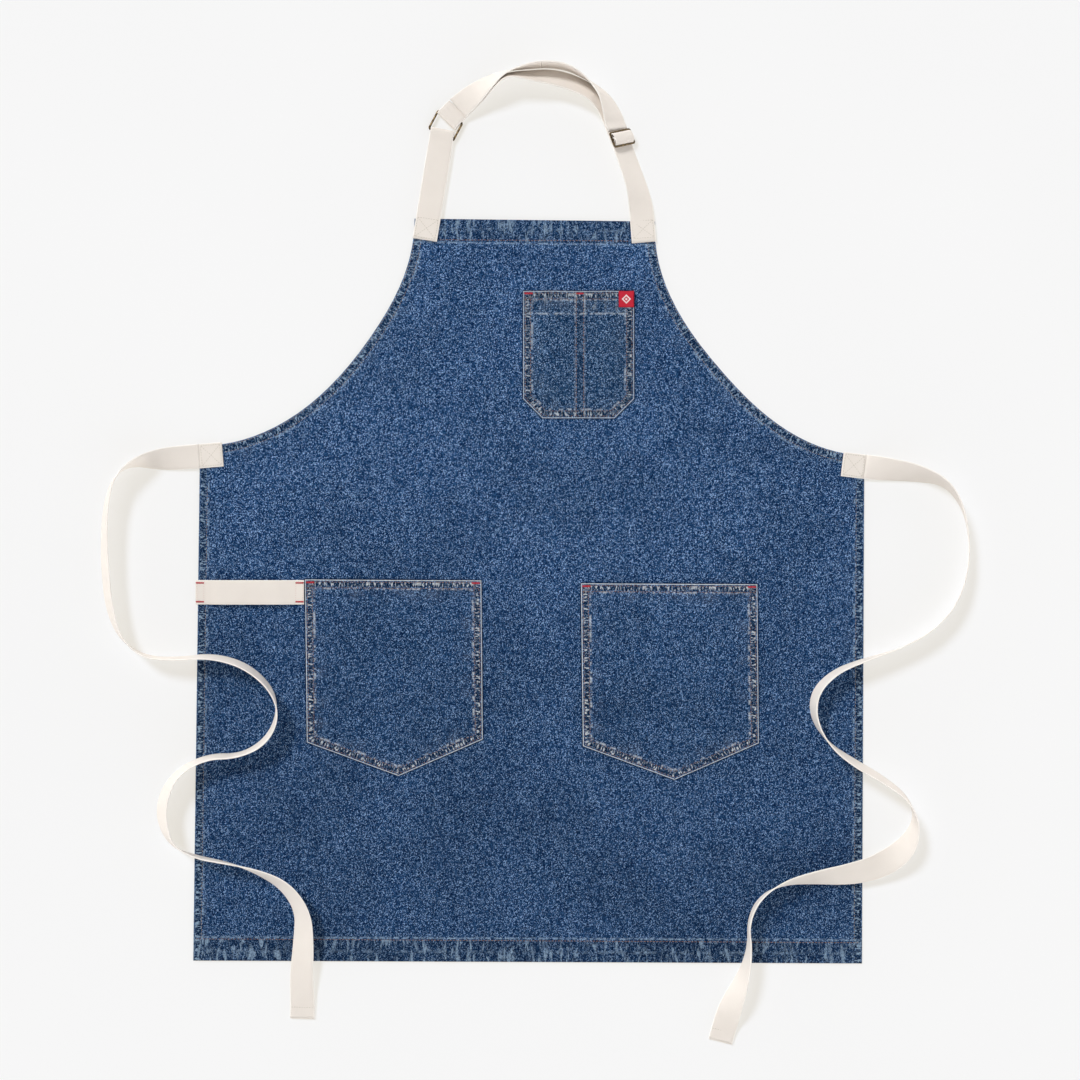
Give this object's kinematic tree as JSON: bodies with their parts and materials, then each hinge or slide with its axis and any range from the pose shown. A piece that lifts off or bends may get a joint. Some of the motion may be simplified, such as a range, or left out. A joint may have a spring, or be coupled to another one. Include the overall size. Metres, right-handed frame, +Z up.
{
  "type": "bib apron",
  "caption": "Denim bib apron lying flat, with an adjustable webbing neck strap, chest and lower pockets, a towel loop and two long waist ties.",
  "frame": {"origin": "on the surface it lies on, under the middle of the apron and neck strap together", "axes": "+Y from the hem towards the neck strap, +X to the right seen from above, +Z up out of the apron's front"},
  "size_m": [0.9033, 1.0146, 0.0279],
  "materials": {
    "denim": "washed mid-blue twill, lighter on edges and folds",
    "pocket_denim": "washed mid-blue twill, slightly darker",
    "webbing": "cream cotton webbing, matt",
    "brown_thread": "copper-brown sewing thread",
    "ecru_thread": "grey-beige sewing thread",
    "red_thread": "dense red bartack thread",
    "red_label": "woven red label",
    "antique_metal": "dark antique bronze wire"
  },
  "bodies": {
    "apron": {"armhole_stitches": "brown_thread", "bib_hem_stitches": "brown_thread", "bib_top_hem": "denim", "body_panel": "denim", "bottom_hem": "denim", "bottom_hem_stitches": "brown_thread", "chest_pocket": "pocket_denim", "chest_pocket_bartacks": "red_thread", "chest_pocket_hem": "pocket_denim", "chest_pocket_stitches": "brown_thread", "left_armhole_hem": "denim", "left_pocket": "denim", "left_pocket_bartacks": "red_thread", "left_pocket_hem": "denim", "left_pocket_stitches": "brown_thread", "left_side_hem": "denim", "left_tie": "webbing", "left_tie_box_stitches": "ecru_thread", "left_tie_end_fold": "webbing", "left_tie_end_stitches": "ecru_thread", "left_tie_sewn_end": "webbing", "neck_anchor_box_stitches": "ecru_thread", "neck_strap": "webbing", "neck_strap_anchor": "webbing", "neck_strap_box_stitches": "ecru_thread", "neck_strap_return": "webbing", "pocket_label": "red_label", "right_armhole_hem": "denim", "right_pocket": "denim", "right_pocket_bartacks": "red_thread", "right_pocket_hem": "denim", "right_pocket_stitches": "brown_thread", "right_side_hem": "denim", "right_tie": "webbing", "right_tie_box_stitches": "ecru_thread", "right_tie_end_fold": "webbing", "right_tie_end_stitches": "ecru_thread", "right_tie_sewn_end": "webbing", "side_hem_stitches": "brown_thread", "towel_loop": "webbing", "towel_loop_bartacks": "red_thread"},
    "ring": {"neck_strap_ring_fold": "webbing", "strap_ring": "antique_metal"},
    "slider": {"neck_strap_end_loop": "webbing", "neck_strap_over_bar": "webbing", "strap_slider": "antique_metal"}
  },
  "joints": [
    {"name": "ring_swing", "type": "hinge", "parent": "apron", "child": "ring", "pos_m": [-0.0915, 0.3955, 0.0034], "axis": [0.8829, -0.4695, 0], "range_deg": [0, 30]},
    {"name": "slider_slide", "type": "slide", "parent": "apron", "child": "slider", "axis": [0.3504, -0.9366, 0], "range_m": [-0.004, 0.022]}
  ]
}
